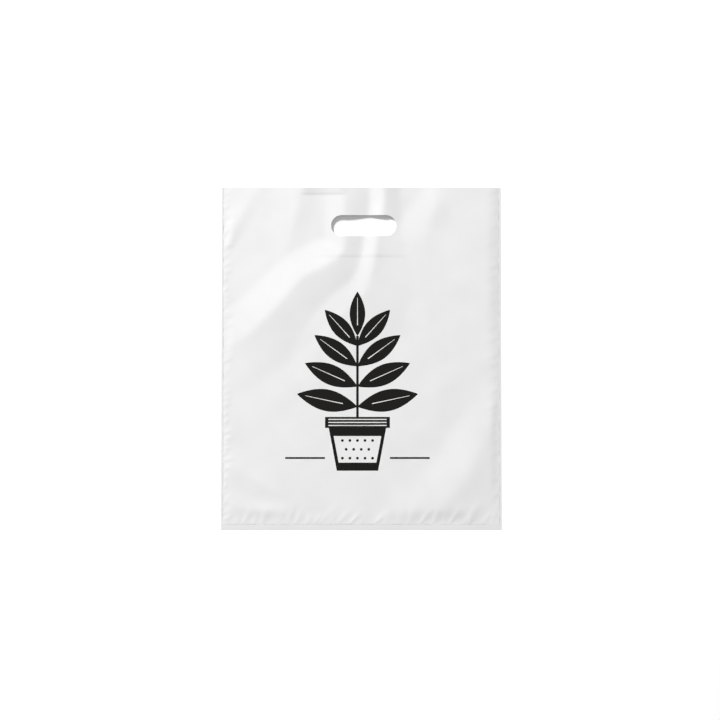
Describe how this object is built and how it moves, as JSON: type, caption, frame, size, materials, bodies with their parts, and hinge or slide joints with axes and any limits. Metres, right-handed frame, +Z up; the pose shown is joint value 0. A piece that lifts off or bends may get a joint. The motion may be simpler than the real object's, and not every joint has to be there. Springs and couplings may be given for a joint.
{
  "type": "plastic carrier bag",
  "caption": "Flat plastic carrier bag with welded sides and base, an open mouth, a punched and reinforced hand slot and a dark printed plant on its front.",
  "frame": {"origin": "under the middle of the bag, on the surface that it lies on", "axes": "+X across the bag, +Y towards its mouth, +Z up, out of the printed front wall"},
  "size_m": [0.38, 0.465, 0.0036],
  "materials": {
    "film": "satin white film, with a near-black print on the front wall",
    "patch_film": "satin white film"
  },
  "bodies": {
    "root": {"bag_film": "film", "front_patch": "patch_film", "rear_patch": "patch_film"}
  },
  "joints": []
}
